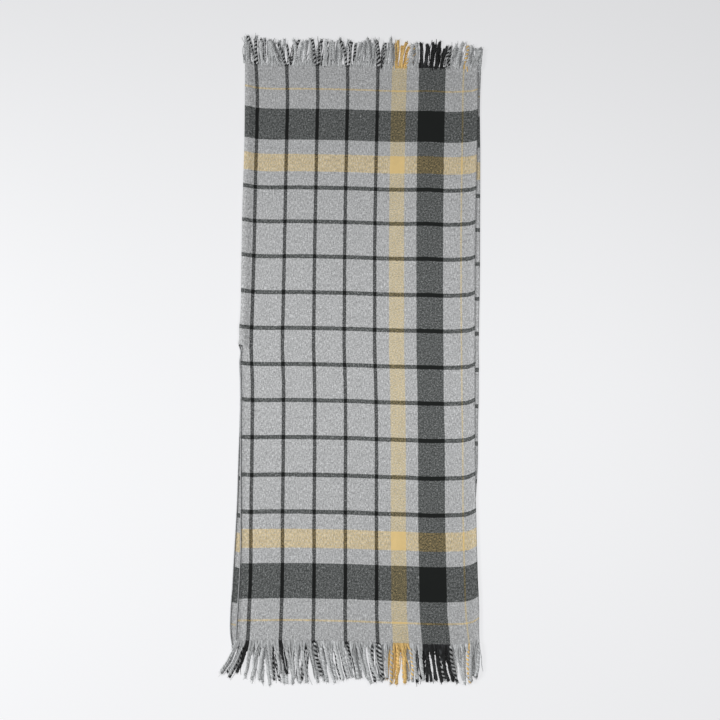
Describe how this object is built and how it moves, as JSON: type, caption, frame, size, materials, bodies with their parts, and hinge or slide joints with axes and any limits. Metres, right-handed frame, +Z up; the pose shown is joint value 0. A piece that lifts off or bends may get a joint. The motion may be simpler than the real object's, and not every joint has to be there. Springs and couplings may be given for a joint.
{
  "type": "fringed plaid poncho folded flat",
  "caption": "Fringed plaid poncho wrap with a hemmed front slit, folded in half down the centre back and laid flat.",
  "frame": {"origin": "middle of the underside of the whole garment, fringe included, on the surface it lies on", "axes": "+X from the centre-back fold to the open sides, +Y from the front end to the back end, +Z up"},
  "size_m": [0.7154, 1.7856, 0.0092],
  "materials": {
    "plaid_cloth": "brushed twill-woven plaid, heather grey with black and amber lines",
    "hem_cloth": "the same cloth, turned under and topstitched",
    "fringe_yarn": "two-ply twisted yarn, grey, black and amber"
  },
  "bodies": {
    "root": {"back_panel": "plaid_cloth", "front_left_panel": "plaid_cloth", "front_right_panel": "plaid_cloth", "front_left_hem": "hem_cloth", "front_right_hem": "hem_cloth", "fringe_back_upper": "fringe_yarn", "fringe_back_under": "fringe_yarn", "fringe_front_left": "fringe_yarn", "fringe_front_right": "fringe_yarn"}
  },
  "joints": []
}
